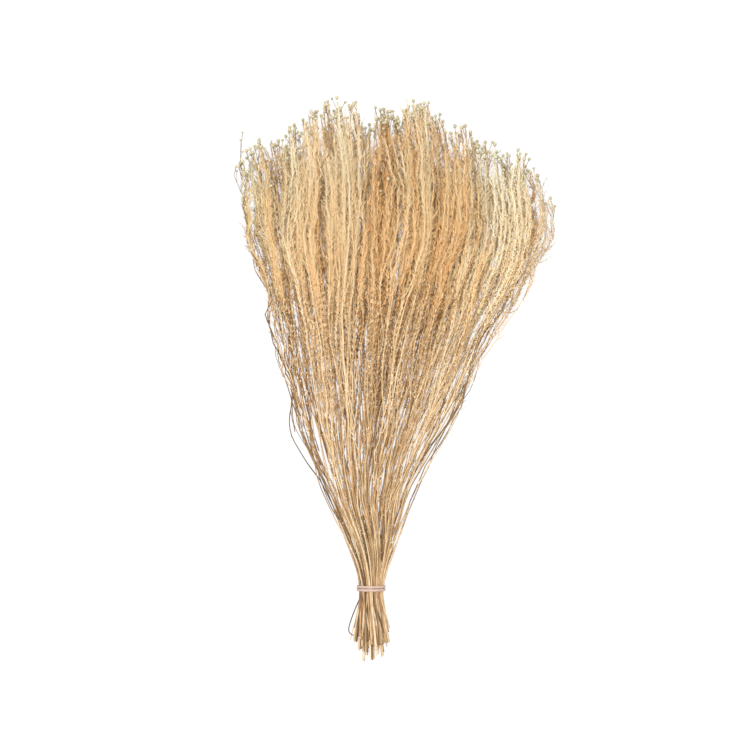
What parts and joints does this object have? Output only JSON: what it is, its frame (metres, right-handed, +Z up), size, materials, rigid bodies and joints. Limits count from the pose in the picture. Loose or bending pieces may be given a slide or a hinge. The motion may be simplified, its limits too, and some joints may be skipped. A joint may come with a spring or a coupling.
{
  "type": "dried flower bunch",
  "caption": "Tied bunch of dried staavia, lying on its side, with fine leafy stems that fan out from a rubber band to small round flower heads.",
  "frame": {"origin": "middle of the bunch's box in plan, on the surface that the bunch lies on", "axes": "+Y along the stems from the cut feet to the flower heads, +X across the fan, to the right as the picture shows it, +Z up from the surface"},
  "size_m": [0.2672, 0.4826, 0.0966],
  "materials": {
    "dried_staavia": "dry, matt, straw to peach, with cream heads",
    "tie": "matt pale pinkish rubber"
  },
  "bodies": {
    "root": {"stem_01": "dried_staavia", "stem_02": "dried_staavia", "stem_03": "dried_staavia", "stem_04": "dried_staavia", "stem_05": "dried_staavia", "stem_06": "dried_staavia", "stem_07": "dried_staavia", "stem_08": "dried_staavia", "stem_09": "dried_staavia", "stem_10": "dried_staavia", "stem_11": "dried_staavia", "stem_12": "dried_staavia", "stem_13": "dried_staavia", "stem_14": "dried_staavia", "stem_15": "dried_staavia", "stem_16": "dried_staavia", "stem_17": "dried_staavia", "stem_18": "dried_staavia", "stem_19": "dried_staavia", "stem_20": "dried_staavia", "stem_21": "dried_staavia", "stem_22": "dried_staavia", "stem_23": "dried_staavia", "stem_24": "dried_staavia", "stem_25": "dried_staavia", "stem_26": "dried_staavia", "stem_27": "dried_staavia", "stem_28": "dried_staavia", "stem_29": "dried_staavia", "stem_30": "dried_staavia", "stem_31": "dried_staavia", "stem_32": "dried_staavia", "stem_33": "dried_staavia", "stem_34": "dried_staavia", "stem_35": "dried_staavia", "stem_36": "dried_staavia", "stem_37": "dried_staavia", "stem_38": "dried_staavia", "stem_39": "dried_staavia", "stem_40": "dried_staavia", "tie_band": "tie"}
  },
  "joints": []
}
